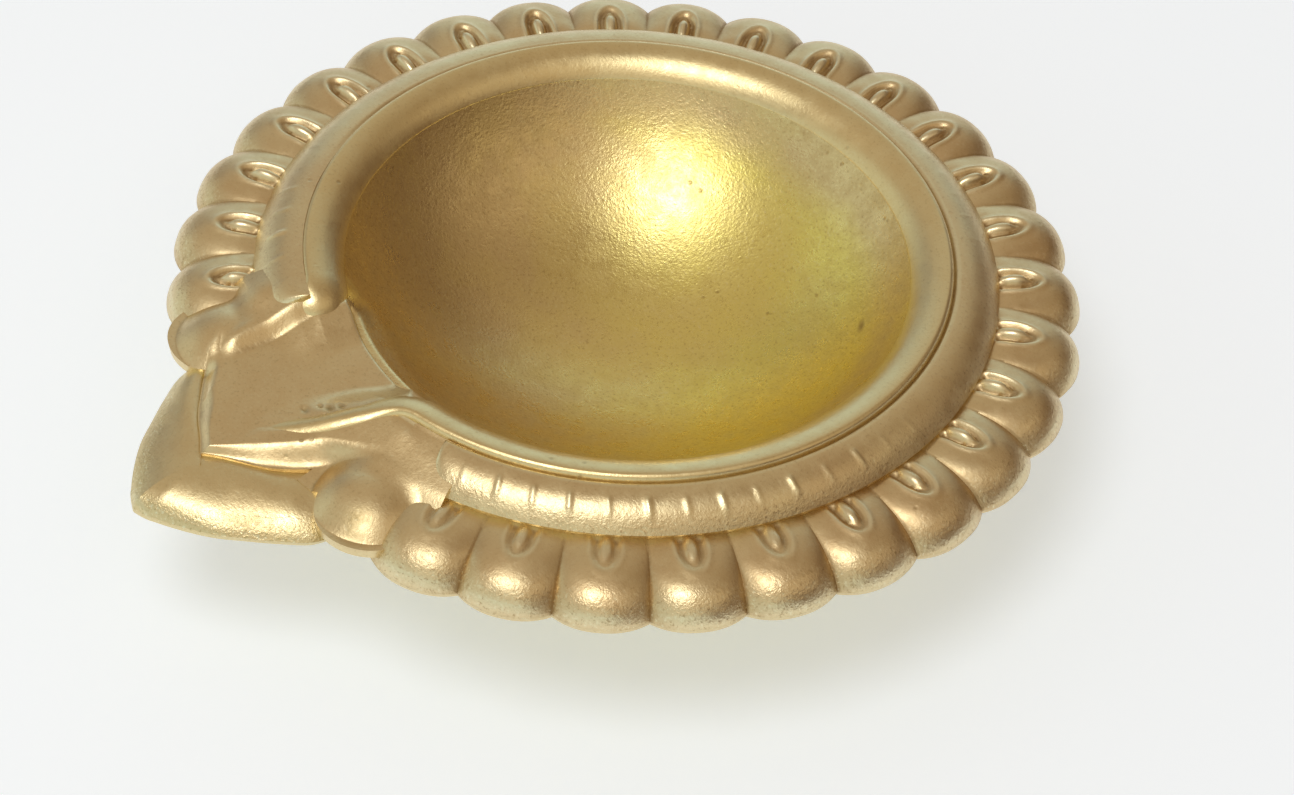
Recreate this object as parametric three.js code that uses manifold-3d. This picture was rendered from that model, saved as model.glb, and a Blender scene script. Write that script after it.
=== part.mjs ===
// A brass diya: a shallow oil bowl on a low foot, ringed by a collar and a border of petals, with a
// leaf-shaped spout that carries the wick. Millimetres, +Z up, the origin at the centre of the foot's
// underside, and the spout along -Y. Places on the spout are given as along (distance from the lamp's
// axis towards the tip) and across (distance to the side, + on the +X side).

import * as THREE from 'three';
import { mergeVertices } from 'three/addons/utils/BufferGeometryUtils.js';
import Module from 'manifold-3d';

const wasm = await Module();
wasm.setup();

// Heights of the rim and of the pieces below it. Drops are measured down from the rim.
const rimHeight = 20;
const jointGap = 0.3;

// Bowl: a spherical cup with a rounded lip.
const seamRadius = 28;
const lipEdgeRadius = 24.4;
const lipEdgeDrop = 1.8;
const cupRadius = 30.2;
const cupWall = 1.6;

// Collar: a convex band outside the lip.
const collarRadius = 32.1;
const collarDrop = 2.6;
const collarThickness = 1.5;

// Border: petals of equal pitch, with the room of four of them left open for the spout.
const petalCount = 27;
const pitchCount = petalCount + 4;
const pitch = 2 * Math.PI / pitchCount;
const spoutHalfAngle = 2 * pitch;
const borderInnerRadius = collarRadius + jointGap;
const notchRadius = 38.5;
const tipRadius = 39.7;
const borderDrop = 5.2;
const borderThickness = 0.9;

// Spout: a bordered leaf, and the channel piece that lies on it.
const tipReach = 48.4;
const leafWidestReach = 38.1;
const leafHalfWidth = 11;
const leafTopDrop = 4.7;
const leafEdgeDrop = 5.6;
const leafThickness = 1;
const channelReach = 41.2;
const channelHalfWidth = 7;
const channelFloorDrop = 2.9;
const channelBaseDrop = 4.35;
const railStart = 5.9;
const railEnd = 36.8;

// Shoulders: the smooth fields beside the channel, each with a ball.
const ballAlong = 33.5;
const ballAcross = 11.9;
const ballRadius = 4.4;
const ballHeight = 1.7;

// Foot: a low solid stand under the bowl.
const footTreadRadius = 15.6;
const footOuterRadius = 15.9;
const footNeckRadius = 12.7;
const footTopGap = 0.45;

const brass = new THREE.Color(0.72, 0.56, 0.3);
const polishedBrass = new THREE.Color(0.76, 0.6, 0.28);

const smooth = (x) => THREE.MathUtils.smoothstep(x, 0, 1);
const mix = THREE.MathUtils.lerp;

// A point at an angle from the spout's axis, at a radius and a drop below the rim.
function aroundBowl(angle, radius, drop) {
  return new THREE.Vector3(radius * Math.sin(angle), -radius * Math.cos(angle), rimHeight - drop);
}

// A point on the spout.
function onSpout(along, across, drop) {
  return new THREE.Vector3(across, -along, rimHeight - drop);
}

// Merges shared corners, drops collapsed triangles and turns the faces outwards.
function closeBody(geometry) {
  const bare = geometry.clone();
  bare.deleteAttribute('normal');
  bare.deleteAttribute('uv');
  const merged = mergeVertices(bare, 1e-4);
  const position = merged.attributes.position;
  const corners = [0, 1, 2].map(() => new THREE.Vector3());
  const kept = [];
  let volume = 0;
  for (let first = 0; first < merged.index.count; first += 3) {
    const triangle = [0, 1, 2].map((step) => merged.index.getX(first + step));
    if (new Set(triangle).size < 3) continue;
    triangle.forEach((vertex, place) => corners[place].fromBufferAttribute(position, vertex));
    volume += corners[0].dot(corners[1].clone().cross(corners[2]));
    kept.push(triangle);
  }
  if (volume < 0) kept.forEach((triangle) => triangle.reverse());
  merged.setIndex(kept.flat());
  return merged;
}

// A closed sheet: a top and a bottom surface over the same grid, joined along the four sides.
// top and bottom give a point for u and v from 0 to 1.
function sheet(uSteps, vSteps, top, bottom) {
  const vertices = [];
  for (const surface of [top, bottom]) {
    for (let row = 0; row <= uSteps; row += 1) {
      for (let column = 0; column <= vSteps; column += 1) {
        vertices.push(...surface(row / uSteps, column / vSteps).toArray());
      }
    }
  }
  const layer = (uSteps + 1) * (vSteps + 1);
  const at = (row, column, side) => side * layer + row * (vSteps + 1) + column;
  const triangles = [];
  const quad = (a, b, c, d) => triangles.push(a, b, c, a, c, d);
  for (let row = 0; row < uSteps; row += 1) {
    for (let column = 0; column < vSteps; column += 1) {
      quad(at(row, column, 0), at(row + 1, column, 0), at(row + 1, column + 1, 0), at(row, column + 1, 0));
      quad(at(row, column, 1), at(row, column + 1, 1), at(row + 1, column + 1, 1), at(row + 1, column, 1));
    }
    quad(at(row, 0, 1), at(row + 1, 0, 1), at(row + 1, 0, 0), at(row, 0, 0));
    quad(at(row, vSteps, 0), at(row + 1, vSteps, 0), at(row + 1, vSteps, 1), at(row, vSteps, 1));
  }
  for (let column = 0; column < vSteps; column += 1) {
    quad(at(0, column, 0), at(0, column + 1, 0), at(0, column + 1, 1), at(0, column, 1));
    quad(at(uSteps, column, 1), at(uSteps, column + 1, 1), at(uSteps, column + 1, 0), at(uSteps, column, 0));
  }
  const geometry = new THREE.BufferGeometry();
  geometry.setAttribute('position', new THREE.Float32BufferAttribute(vertices, 3));
  geometry.setIndex(triangles);
  return closeBody(geometry);
}

// Cuts one closed body out of another.
function cut(body, cutter) {
  const [kept, removed] = [body, cutter].map((geometry) => new wasm.Manifold(new wasm.Mesh({
    numProp: 3,
    vertProperties: new Float32Array(geometry.attributes.position.array),
    triVerts: new Uint32Array(geometry.index.array),
  })));
  const result = kept.subtract(removed).getMesh();
  const geometry = new THREE.BufferGeometry();
  geometry.setAttribute('position', new THREE.BufferAttribute(new Float32Array(result.vertProperties), 3));
  geometry.setIndex(new THREE.BufferAttribute(new Uint32Array(result.triVerts), 1));
  return geometry;
}

// Turns a closed profile of [radius, height] pairs round the lamp's axis.
function turned(profile, segments) {
  const points = profile.map(([radius, height]) => new THREE.Vector2(radius, height));
  return closeBody(new THREE.LatheGeometry(points, segments).rotateX(Math.PI / 2));
}

// The bowl's height at a radius, inside (wall 0) or outside (the wall's thickness).
const cupCentre = rimHeight - lipEdgeDrop + Math.sqrt(cupRadius ** 2 - lipEdgeRadius ** 2);
const cupHeight = (radius, wall) => cupCentre - Math.sqrt((cupRadius + wall) ** 2 - radius ** 2);

// A spherical cup with a thick rim: the lip rolls over to the seam, and on the spout's side it is opened
// down to the channel's floor.
function oilBowl() {
  const arcSteps = 8;
  const outsideRadius = 24.2;
  const inside = [];
  const outside = [];
  for (let step = 0; step <= arcSteps; step += 1) {
    const share = Math.sin(step / arcSteps * Math.PI / 2);
    inside.push([share * lipEdgeRadius, cupHeight(share * lipEdgeRadius, 0)]);
    outside.unshift([share * outsideRadius, cupHeight(share * outsideRadius, cupWall)]);
  }
  const lip = [
    [25.2, rimHeight - 0.95],
    [26.1, rimHeight - 0.35],
    [27, rimHeight - 0.07],
    [27.6, rimHeight],
    [seamRadius, rimHeight - 0.2],
    [seamRadius, rimHeight - 4.1],
    [25.2, rimHeight - 4.4],
  ];
  const bowl = turned([...inside, ...lip, ...outside], 60);
  const mouthHalfWidth = railStart - 0.9;
  const mouth = new THREE.Shape();
  mouth.moveTo(-mouthHalfWidth, rimHeight - channelFloorDrop + 1);
  mouth.quadraticCurveTo(-mouthHalfWidth + 0.3, rimHeight - channelFloorDrop, -mouthHalfWidth + 1.6,
    rimHeight - channelFloorDrop);
  mouth.lineTo(mouthHalfWidth - 1.6, rimHeight - channelFloorDrop);
  mouth.quadraticCurveTo(mouthHalfWidth - 0.3, rimHeight - channelFloorDrop, mouthHalfWidth,
    rimHeight - channelFloorDrop + 1);
  mouth.lineTo(mouthHalfWidth + 0.7, rimHeight + 2);
  mouth.lineTo(-mouthHalfWidth - 0.7, rimHeight + 2);
  mouth.closePath();
  const cutter = new THREE.ExtrudeGeometry(mouth, { depth: 14, bevelEnabled: false, curveSegments: 3 });
  return cut(bowl, closeBody(cutter.rotateX(Math.PI / 2).translate(0, -18, 0)));
}

// A solid foot: a flat underside, a rounded edge, a waist, and a top dished to the curve of the bowl.
function foot() {
  const dish = [1, 0.8, 0.6, 0.4, 0.2, 0].map((share) => {
    const radius = share * footNeckRadius;
    return [radius, cupHeight(radius, cupWall) - footTopGap];
  });
  return turned([
    [0, 0],
    [footTreadRadius, 0],
    [footOuterRadius, 0.5],
    [footTreadRadius, 1.1],
    [14, 1.9],
    [13, 3],
    [footNeckRadius, 4.4],
    ...dish,
  ], 48);
}

const seamGapAngle = jointGap / (2 * seamRadius);
const bandStart = spoutHalfAngle + seamGapAngle;
const bandSweep = 2 * (Math.PI - bandStart);

// A convex band from the seam to the crease, open at the spout.
function collarBand() {
  const innerRadius = seamRadius + jointGap;
  const innerDrop = 0.45;
  const profile = (u, v, thickness) => aroundBowl(
    bandStart + u * bandSweep,
    mix(innerRadius, collarRadius, v),
    mix(innerDrop, collarDrop, v ** 1.9) + thickness,
  );
  return sheet(84, 4, (u, v) => profile(u, v, 0), (u, v) => profile(u, v, collarThickness));
}

// Petals side by side: each one rises from the valleys at its sides to a crown that falls to the tip.
function petalBorder() {
  const stepsPerPetal = 6;
  const crownDrops = [2.8, 2.2, 2.35, 3.1, 4.2, borderDrop];
  const crown = (v) => {
    const place = Math.min(v * (crownDrops.length - 1), crownDrops.length - 1.001);
    const first = Math.floor(place);
    return mix(crownDrops[first], crownDrops[first + 1], place - first);
  };
  const petalPlace = (u) => Math.abs(((u * petalCount) % 1) * 2 - 1);
  const fullness = (u) => Math.sqrt(1 - petalPlace(u) ** 2.4);
  const outline = (u) => mix(notchRadius, tipRadius, fullness(u));
  const angle = (u) => bandStart + u * bandSweep;
  const top = (u, v) => aroundBowl(
    angle(u),
    mix(borderInnerRadius, outline(u), v),
    mix(mix(3.2, borderDrop, v), crown(v), fullness(u)),
  );
  const bottom = (u, v) => aroundBowl(
    angle(u),
    mix(borderInnerRadius, outline(u) - 0.4, v),
    mix(4.1, borderDrop + borderThickness, v),
  );
  return sheet(petalCount * stepsPerPetal, 5, top, bottom);
}

// Half the channel piece's width: straight sides, then a point.
function channelHalf(along) {
  const share = THREE.MathUtils.clamp((along - ballAlong) / (channelReach - ballAlong), 0, 1);
  return Math.max(channelHalfWidth * (1 - share ** 1.15), 0.4);
}

// The channel: a shallow trough between two low rails that run on from the lip and die out towards the
// point, on a raised ledge with a pointed outline.
function spoutChannel() {
  const innerRadius = seamRadius + jointGap;
  const place = (u, v) => {
    const across = (2 * u - 1) * channelHalf(mix(innerRadius, channelReach, v));
    return [mix(Math.sqrt(innerRadius ** 2 - across ** 2), channelReach, v), across];
  };
  const top = (u, v) => {
    const [along, across] = place(u, v);
    const run = THREE.MathUtils.clamp((along - 27) / (railEnd - 27), 0, 1);
    const railAcross = railStart * Math.sqrt(1 - run ** 2);
    const railHeight = 2 * (1 - run ** 1.5);
    const outside = smooth((Math.abs(across) - railAcross + 1.5) / 1.5);
    const shoulder = mix(channelFloorDrop, channelFloorDrop + 0.5, v);
    return onSpout(along, across, shoulder - railHeight * outside);
  };
  const bottom = (u, v) => onSpout(...place(u, v), channelBaseDrop);
  return sheet(14, 12, top, bottom);
}

// Half the leaf's width: under the channel, round the ball, then in to the tip.
function leafHalf(along) {
  const clearance = ballRadius + 0.2 + jointGap;
  if (along < ballAlong) return ballAcross - clearance;
  const pastBall = Math.min((along - ballAlong) / clearance, 1);
  const besideBall = ballAcross - clearance * Math.sqrt(1 - pastBall ** 2);
  const share = THREE.MathUtils.clamp((along - leafWidestReach) / (tipReach - leafWidestReach), 0, 1);
  return Math.max(Math.min(besideBall, leafHalfWidth * (1 - share ** 1.5)), 0.5);
}

// A bordered leaf: a plate whose edges curl down all round the point.
function spoutLeaf() {
  const curlWidth = 3.2;
  const leafStart = seamRadius + 2 * jointGap;
  const place = (u, v) => {
    const along = v < 0.5 ? mix(leafStart, leafWidestReach, 2 * v) : mix(leafWidestReach, tipReach, 2 * v - 1);
    return [along, (2 * u - 1) * leafHalf(along)];
  };
  const top = (u, v) => {
    const [along, across] = place(u, v);
    const toSide = along < ballAlong ? curlWidth : leafHalf(along) - Math.abs(across);
    const nearness = 1 - Math.min(toSide, tipReach - along, curlWidth) / curlWidth;
    return onSpout(along, across, mix(leafTopDrop, leafEdgeDrop, nearness ** 2));
  };
  const bottom = (u, v) => onSpout(...place(u, v), leafEdgeDrop + leafThickness);
  return sheet(12, 16, top, bottom);
}

// A smooth field from the lip down to the edge, between the channel and the end of the collar and
// border, with a ball standing on it. side is +1 on the +X side and -1 on the other.
function spoutShoulder(side) {
  const innerRadius = seamRadius + jointGap;
  const clearance = ballRadius + 0.2;
  const outerAngle = spoutHalfAngle - seamGapAngle;
  const innerEdge = (v) => {
    const turn = Math.max(2 * v - 1, 0) * THREE.MathUtils.degToRad(80);
    const across = ballAcross - clearance * Math.cos(turn);
    const straight = mix(Math.sqrt(innerRadius ** 2 - across ** 2), ballAlong, Math.min(2 * v, 1));
    return [straight + clearance * Math.sin(turn), across];
  };
  const place = (u, v) => {
    const [along, across] = innerEdge(v);
    const bulge = 1.3 * smooth((v - 0.6) / 0.4) * Math.sin(Math.PI * u);
    return [
      mix(Math.atan2(across, along), outerAngle, u),
      mix(Math.hypot(along, across), mix(innerRadius, notchRadius, v), u) + bulge,
    ];
  };
  const fieldDrop = (radius) => {
    if (radius < collarRadius) return mix(0.4, 3, (radius - innerRadius) / (collarRadius - innerRadius));
    return mix(3, borderDrop, Math.min((radius - collarRadius) / (notchRadius - collarRadius), 1));
  };
  const top = (u, v) => {
    const [angle, radius] = place(u, v);
    const off = Math.hypot(radius * Math.cos(angle) - ballAlong, radius * Math.sin(angle) - ballAcross);
    const ball = ballHeight * Math.sqrt(Math.max(1 - (off / ballRadius) ** 2, 0));
    return aroundBowl(side * angle, radius, fieldDrop(radius) - ball);
  };
  const bottom = (u, v) => {
    const [angle, radius] = place(u, v);
    return aroundBowl(side * angle, radius, fieldDrop(radius) + borderThickness);
  };
  return sheet(10, 14, top, bottom);
}

const lamp = new THREE.Group();

function addPiece(name, geometry, color, roughness) {
  const material = new THREE.MeshStandardMaterial({ color, roughness, metalness: 1 });
  const mesh = new THREE.Mesh(geometry, material);
  mesh.name = name;
  lamp.add(mesh);
}

addPiece('oil_bowl', oilBowl(), polishedBrass, 0.25);
addPiece('foot', foot(), brass, 0.45);
addPiece('collar_band', collarBand(), brass, 0.4);
addPiece('petal_border', petalBorder(), brass, 0.4);
addPiece('spout_channel', spoutChannel(), brass, 0.4);
addPiece('spout_leaf', spoutLeaf(), brass, 0.4);
addPiece('spout_shoulder_right', spoutShoulder(1), brass, 0.4);
addPiece('spout_shoulder_left', spoutShoulder(-1), brass, 0.4);

export default lamp;
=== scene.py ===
import bmesh
import bpy
import numpy as np
from mathutils import Matrix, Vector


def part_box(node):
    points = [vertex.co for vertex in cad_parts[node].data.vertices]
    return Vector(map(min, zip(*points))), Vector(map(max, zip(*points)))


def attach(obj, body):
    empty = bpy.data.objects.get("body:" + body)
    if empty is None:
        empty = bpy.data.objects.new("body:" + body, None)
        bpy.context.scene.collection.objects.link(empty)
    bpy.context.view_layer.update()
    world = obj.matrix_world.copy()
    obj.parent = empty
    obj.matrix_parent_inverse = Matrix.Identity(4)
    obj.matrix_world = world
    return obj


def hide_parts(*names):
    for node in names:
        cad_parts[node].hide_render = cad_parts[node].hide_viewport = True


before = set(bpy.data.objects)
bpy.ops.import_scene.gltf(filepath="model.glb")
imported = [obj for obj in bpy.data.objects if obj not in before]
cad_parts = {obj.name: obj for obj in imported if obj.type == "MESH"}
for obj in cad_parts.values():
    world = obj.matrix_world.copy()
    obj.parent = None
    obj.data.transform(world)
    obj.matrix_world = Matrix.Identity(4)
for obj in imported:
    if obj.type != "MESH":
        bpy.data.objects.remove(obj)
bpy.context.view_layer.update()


# ---------------------------------------------------------------------------------------------------
# Oil bowl: a shallow round cup, cast in brass and then turned and polished inside. On the spout's side
# its wall is lowered for the wick, and the foot is brazed under it.

MM = 0.001
FULL_TURN = 2 * np.pi
RIM_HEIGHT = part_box("oil_bowl")[1][2] / MM
CUP_RADIUS = 30.2
LIP_EDGE, LIP_EDGE_DROP = 24.4, 1.8
CUP_CENTRE_RISE = np.sqrt(CUP_RADIUS ** 2 - LIP_EDGE ** 2) - LIP_EDGE_DROP
CUP_WALL = 1.6
MOUTH_TURN = np.radians(-4.0)
MOUTH_SOLID, MOUTH_OPEN = 8.4, 6.0
MOUTH_FLOOR = 3.3
MOUTH_FLARE, MOUTH_FLARE_START = 0.75, 21.5
UNDER_RADIUS = 24.2
RIM_SEAT_RADII, RIM_SEAT_DROPS = (25.2, 27.7, 28.0), (4.4, 4.15, 4.0)
RIM_TOP_RADII, RIM_TOP_ROUNDING, RIM_TOP_DROP = (28.0, 27.8, 25.4), (0.2, 0.0, 0.0), 2.2
MARK_ALONG, MARK_ACROSS = -15.1, 14.0
MARK_HALF_WIDTH, MARK_HALF_LENGTH = 0.28, 0.95
# Painted light: the cup's bright yellow tone stands in for the bowl's reflection of its own inside on the
# right, and its warm brown tone stands in for shade on the left and round the rim.
CUP_TONES = ((0.9, 0.78, 0.22), (0.77, 0.61, 0.31), (0.34, 0.22, 0.08), (0.88, 0.78, 0.42))


def soft_step(low, high, value):
    """0 below low, 1 above high, and 3x^2 - 2x^3 in between."""
    share = np.clip((value - low) / (high - low), 0, 1)
    return share * share * (3 - 2 * share)


def bump(centre, width, value):
    """A smooth hump: 1 at the centre, falling as exp(-x^2) with the width."""
    return np.exp(-((value - centre) / width) ** 2)


def curve_through(knots, value):
    """Height at value on a smooth curve through (place, height) knots: cubic Hermite pieces whose
    slope at each knot is the slope between its neighbours."""
    place, height = np.array(knots, float).T
    slope = np.gradient(height, place)
    value = np.clip(value, place[0], place[-1])
    i = np.clip(np.searchsorted(place, value) - 1, 0, len(place) - 2)
    gap = place[i + 1] - place[i]
    x = (value - place[i]) / gap
    return (height[i] * (1 + 2 * x) * (1 - x) ** 2 + slope[i] * gap * x * (1 - x) ** 2
            + height[i + 1] * x * x * (3 - 2 * x) - slope[i + 1] * gap * x * x * (1 - x))


def lower_of(first, second, blend):
    """The larger of two drops, rounded over where they cross within the blend distance."""
    near = np.clip(0.5 + 0.5 * (first - second) / blend, 0, 1)
    return second + (first - second) * near + blend * near * (1 - near)


def around(angle, radius, drop):
    """Points, in metres, at an angle from the spout's axis, a radius, and a drop below the rim (mm)."""
    angle, radius, drop = np.broadcast_arrays(angle, radius, drop)
    return np.stack([radius * np.sin(angle), -radius * np.cos(angle), RIM_HEIGHT - drop], -1) * MM


def neighbours(grid, rows, columns, ring):
    """The grid moved by that many rows and columns. Rows run round on a ring; all else stops at the
    edges."""
    place = np.arange(grid.shape[0]) + rows
    place = place % grid.shape[0] if ring else np.clip(place, 0, grid.shape[0] - 1)
    return grid[place][:, np.clip(np.arange(grid.shape[1]) + columns, 0, grid.shape[1] - 1)]


def hollowness(grid, ring, reach):
    """How many mm each point lies below the mean of the four points that are the reach away from it,
    measured along the surface's upward normal."""
    along_row = neighbours(grid, 0, 1, ring) - neighbours(grid, 0, -1, ring)
    along_column = neighbours(grid, 1, 0, ring) - neighbours(grid, -1, 0, ring)
    normal = np.cross(along_row, along_column)
    normal *= np.sign(normal[..., 2:] + 1e-12)
    normal /= np.linalg.norm(normal, axis=2, keepdims=True) + 1e-12
    mean = sum(neighbours(grid, r * reach[0], c * reach[1], ring)
               for r, c in ((1, 0), (-1, 0), (0, 1), (0, -1))) / 4
    return ((mean - grid) * normal).sum(2) / MM


def skin(name, loops, marks, ring=False):
    """A closed skin over a row of closed loops of points. A ring's last loop joins its first; any other
    skin is closed by its first and its last loop. marks holds a value for each point under each name."""
    rows, count = loops.shape[:2]
    row = np.arange(rows if ring else rows - 1)[:, None]
    column = np.arange(count)[None, :]
    next_row, next_column = (row + 1) % rows, (column + 1) % count
    corners = [row * count + column, row * count + next_column,
               next_row * count + next_column, next_row * count + column]
    quads = np.stack(np.broadcast_arrays(*corners), -1).reshape(-1, 4)
    points = loops.reshape(-1, 3)
    a, b, c, d = (points[quads[:, side]] for side in range(4))
    inward = (np.cross(b, c) * a + np.cross(c, d) * a).sum() < 0
    ends = [] if ring else [np.arange(count)[::-1], (rows - 1) * count + np.arange(count)]
    faces = [quads.ravel(), *ends]
    if inward:
        faces = [quads[:, ::-1].ravel(), *(end[::-1] for end in ends)]
    totals = np.concatenate([np.full(len(quads), 4), np.full(len(ends), count)]).astype(int)
    corner_list = np.concatenate(faces)
    mesh = bpy.data.meshes.new(name)
    mesh.vertices.add(len(points))
    mesh.vertices.foreach_set("co", points.ravel())
    mesh.loops.add(len(corner_list))
    mesh.loops.foreach_set("vertex_index", corner_list)
    mesh.polygons.add(len(totals))
    mesh.polygons.foreach_set("loop_start", np.concatenate([[0], np.cumsum(totals)[:-1]]))
    mesh.polygons.foreach_set("loop_total", totals)
    mesh.polygons.foreach_set("use_smooth", np.ones(len(totals), bool))
    mesh.update(calc_edges=True)
    for mark, values in marks.items():
        kept = mesh.attributes.new(mark, "FLOAT", "POINT")
        kept.data.foreach_set("value", np.broadcast_to(values, loops.shape[:2]).ravel())
    joined = bmesh.new()
    joined.from_mesh(mesh)
    bmesh.ops.remove_doubles(joined, verts=joined.verts, dist=0.0005 * MM)
    joined.to_mesh(mesh)
    joined.free()
    mesh.set_sharp_from_angle(angle=np.radians(48))
    piece = bpy.data.objects.new(name, mesh)
    bpy.context.scene.collection.objects.link(piece)
    return piece


def plate(name, top, bottom, ring=False, reach=(4, 4), **marks):
    """A closed plate between a top and a bottom grid of points: each row is one loop, out and back. The
    top is marked with its hollowness and the given marks; the bottom has none."""
    marks = {"hollow": hollowness(top, ring, reach), "grainy": 0.0, "stain": 0.0, "warm": 0.5, **marks}
    under = np.zeros(bottom.shape[:2])
    whole = {mark: np.concatenate([np.broadcast_to(values, top.shape[:2]), under], 1)
             for mark, values in marks.items()}
    return skin(name, np.concatenate([top, bottom[:, ::-1]], 1), whole, ring)


def cup_drop(radius, wall=0):
    """The sphere of the bowl's inside, or of its outside a wall further out: the centre's rise above
    the rim, taken from the sphere's depth at the radius."""
    return np.sqrt((CUP_RADIUS + wall) ** 2 - radius ** 2) - CUP_CENTRE_RISE


cup_angle = np.linspace(-np.pi, np.pi, 480, endpoint=False)[:, None]
cup_radius = np.sin(np.linspace(0, 1, 110) * np.pi / 2)[None, :] * LIP_EDGE
from_mouth = np.abs(LIP_EDGE * np.sin(cup_angle - MOUTH_TURN))
mouth_share = (1 - soft_step(MOUTH_OPEN, MOUTH_SOLID, from_mouth)) * (np.cos(cup_angle) > 0)
cup_flare = MOUTH_FLARE * mouth_share * soft_step(MOUTH_FLARE_START, UNDER_RADIUS, cup_radius)
cup_cut = np.where(mouth_share > 0, MOUTH_FLOOR * mouth_share, -9)
cup_top = around(cup_angle, cup_radius + cup_flare, lower_of(cup_drop(cup_radius), cup_cut, 0.15))
under_radius = np.sin(np.linspace(0, 1, 30) * np.pi / 2)[None, :] * UNDER_RADIUS
rim_drop = RIM_TOP_DROP + (MOUTH_FLOOR + 0.1 - RIM_TOP_DROP) * mouth_share
cup_bottom = np.concatenate([
    around(cup_angle, under_radius, cup_drop(under_radius, CUP_WALL)),
    around(cup_angle, np.array([RIM_SEAT_RADII]), np.array([RIM_SEAT_DROPS])),
    around(cup_angle, np.array([RIM_TOP_RADII]), rim_drop + np.array([RIM_TOP_ROUNDING])),
], 1)
cup_across = cup_radius * np.sin(cup_angle)
cup_along = cup_radius * np.cos(cup_angle)
along_mark = 0.66 * (cup_along - MARK_ALONG) + 0.75 * (cup_across - MARK_ACROSS)
across_mark = 0.75 * (cup_along - MARK_ALONG) - 0.66 * (cup_across - MARK_ACROSS)
cup_stain = 0.9 * bump(0, MARK_HALF_WIDTH, across_mark) * bump(0, MARK_HALF_LENGTH, along_mark)
# Painted shade and reflection: the share of the warm brown tone rises towards the left and round the rim,
# where the bowl is shaded. It falls to the bright yellow tone on the right, a painted reflection of the
# bowl's inside.
toward_left = 0.75 * cup_along - 0.65 * cup_across
cup_painted_light = np.maximum(soft_step(-15, 15, toward_left), soft_step(19.5, 23.5, cup_radius))
cup = plate("oil_bowl_cup", cup_top, cup_bottom, ring=True, reach=(8, 4), grainy=0.7, stain=cup_stain,
            warm=cup_painted_light)


def add_node(tree, kind, inputs=(), **settings):
    """A new shader node with its settings, and each (socket, value or output) pair filled or linked."""
    made = tree.nodes.new(kind)
    for name, value in settings.items():
        setattr(made, name, value)
    for socket, value in inputs:
        if isinstance(value, bpy.types.NodeSocket):
            tree.links.new(value, made.inputs[socket])
        else:
            made.inputs[socket].default_value = value
    return made


def remap(tree, value, low, high, to_low=0.0, to_high=1.0):
    """The value from low to high, laid smoothly onto to_low to to_high."""
    inputs = [(0, value), (1, low), (2, high), (3, to_low), (4, to_high)]
    return add_node(tree, "ShaderNodeMapRange", inputs, interpolation_type="SMOOTHSTEP").outputs[0]


def blend_colours(tree, share, first, second):
    """A mix of two colours by a share."""
    inputs = [(0, share), (6, first), (7, second)]
    return add_node(tree, "ShaderNodeMix", inputs, data_type="RGBA").outputs[2]


def arithmetic(tree, operation, first, second):
    """One sum, product or other operation on two numbers."""
    return add_node(tree, "ShaderNodeMath", [(0, first), (1, second)], operation=operation).outputs[0]


def noise(tree, place, scale, detail, roughness):
    """Cloudy noise from 0 to 1, mostly near 0.5, with features about one over the scale in metres."""
    inputs = [("Vector", place), ("Scale", scale), ("Detail", detail), ("Roughness", roughness)]
    return add_node(tree, "ShaderNodeTexNoise", inputs).outputs["Fac"]


CLOUD_SCALE, PATCH_SCALE, GRAIN_SCALE, PIT_SCALE = 95.0, 520.0, 3400.0, 560.0


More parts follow.
